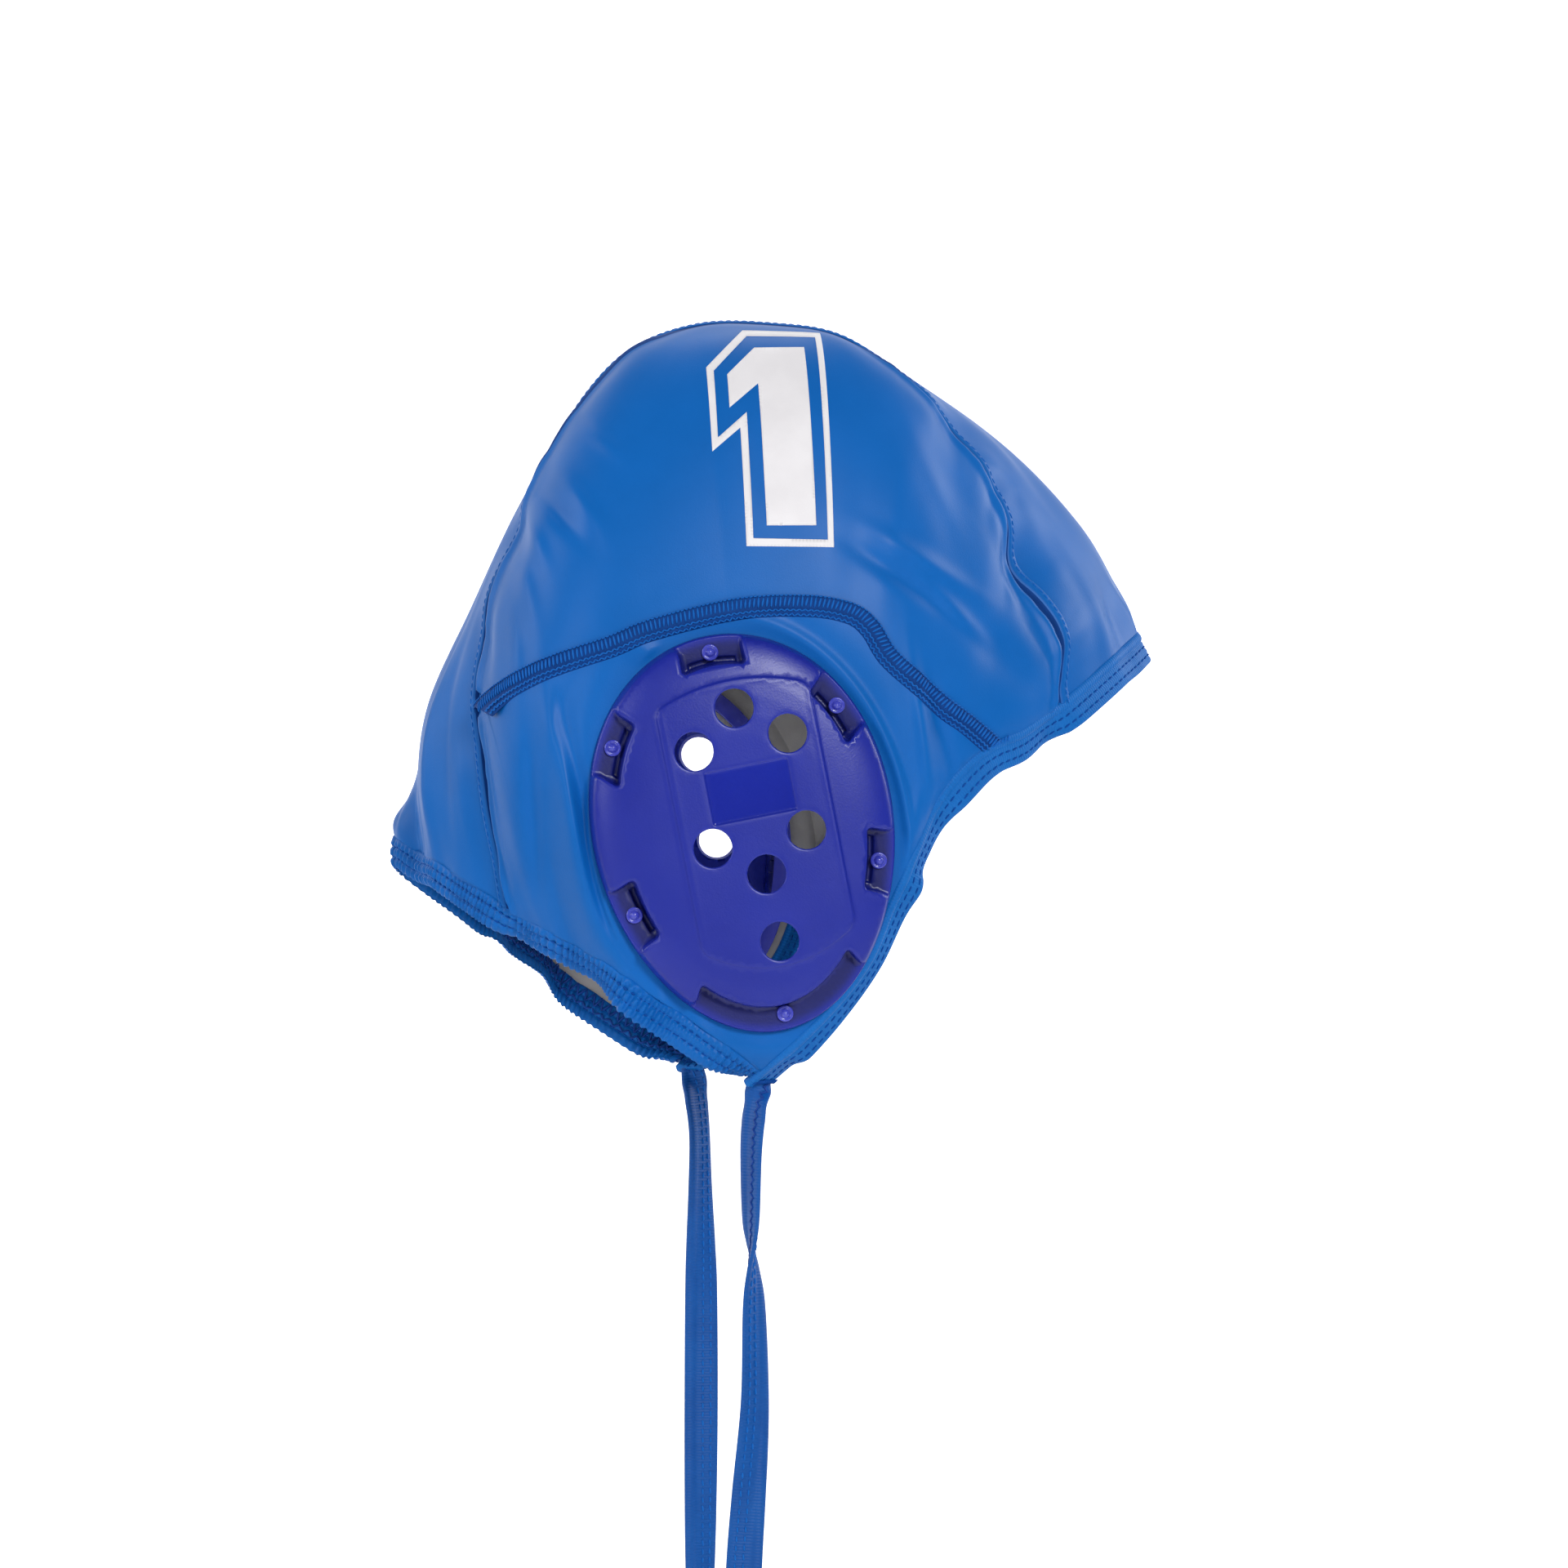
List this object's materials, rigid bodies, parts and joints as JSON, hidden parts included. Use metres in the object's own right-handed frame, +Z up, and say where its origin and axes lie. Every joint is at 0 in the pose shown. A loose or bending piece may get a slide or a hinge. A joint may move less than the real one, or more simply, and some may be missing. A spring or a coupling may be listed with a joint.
{
  "type": "water polo cap",
  "caption": "Soft swim-type cap with a domed, pierced plastic guard over each ear, a taped front edge and two tie tapes under the chin.",
  "frame": {"origin": "where the top of the head meets the inside of the crown", "axes": "+X to the wearer's front, +Y to the wearer's left, +Z up"},
  "size_m": [0.2267, 0.1754, 0.3889],
  "materials": {
    "cloth": "smooth stretch knit with a slight sheen, pale grey on its reverse",
    "tape": "ribbed satin tape",
    "thread": "dense stitching thread",
    "plastic": "translucent satin moulded plastic",
    "print": "flat screen print"
  },
  "bodies": {
    "root": {"crown_panel": "cloth", "number_panel_right": "cloth", "number_panel_left": "cloth", "ear_panel_right": "cloth", "ear_panel_left": "cloth", "crown_seam_right": "cloth", "crown_seam_left": "cloth", "flatlock_seam_right": "thread", "flatlock_seam_left": "thread", "front_binding": "tape", "nape_hem": "cloth", "ear_guard_right": "plastic", "ear_guard_left": "plastic", "guard_backing_right": "plastic", "guard_backing_left": "plastic", "tie_right": "tape", "tie_left": "tape", "digit_right": "print", "digit_left": "print", "digit_rim_right": "print", "digit_rim_left": "print"}
  },
  "joints": []
}
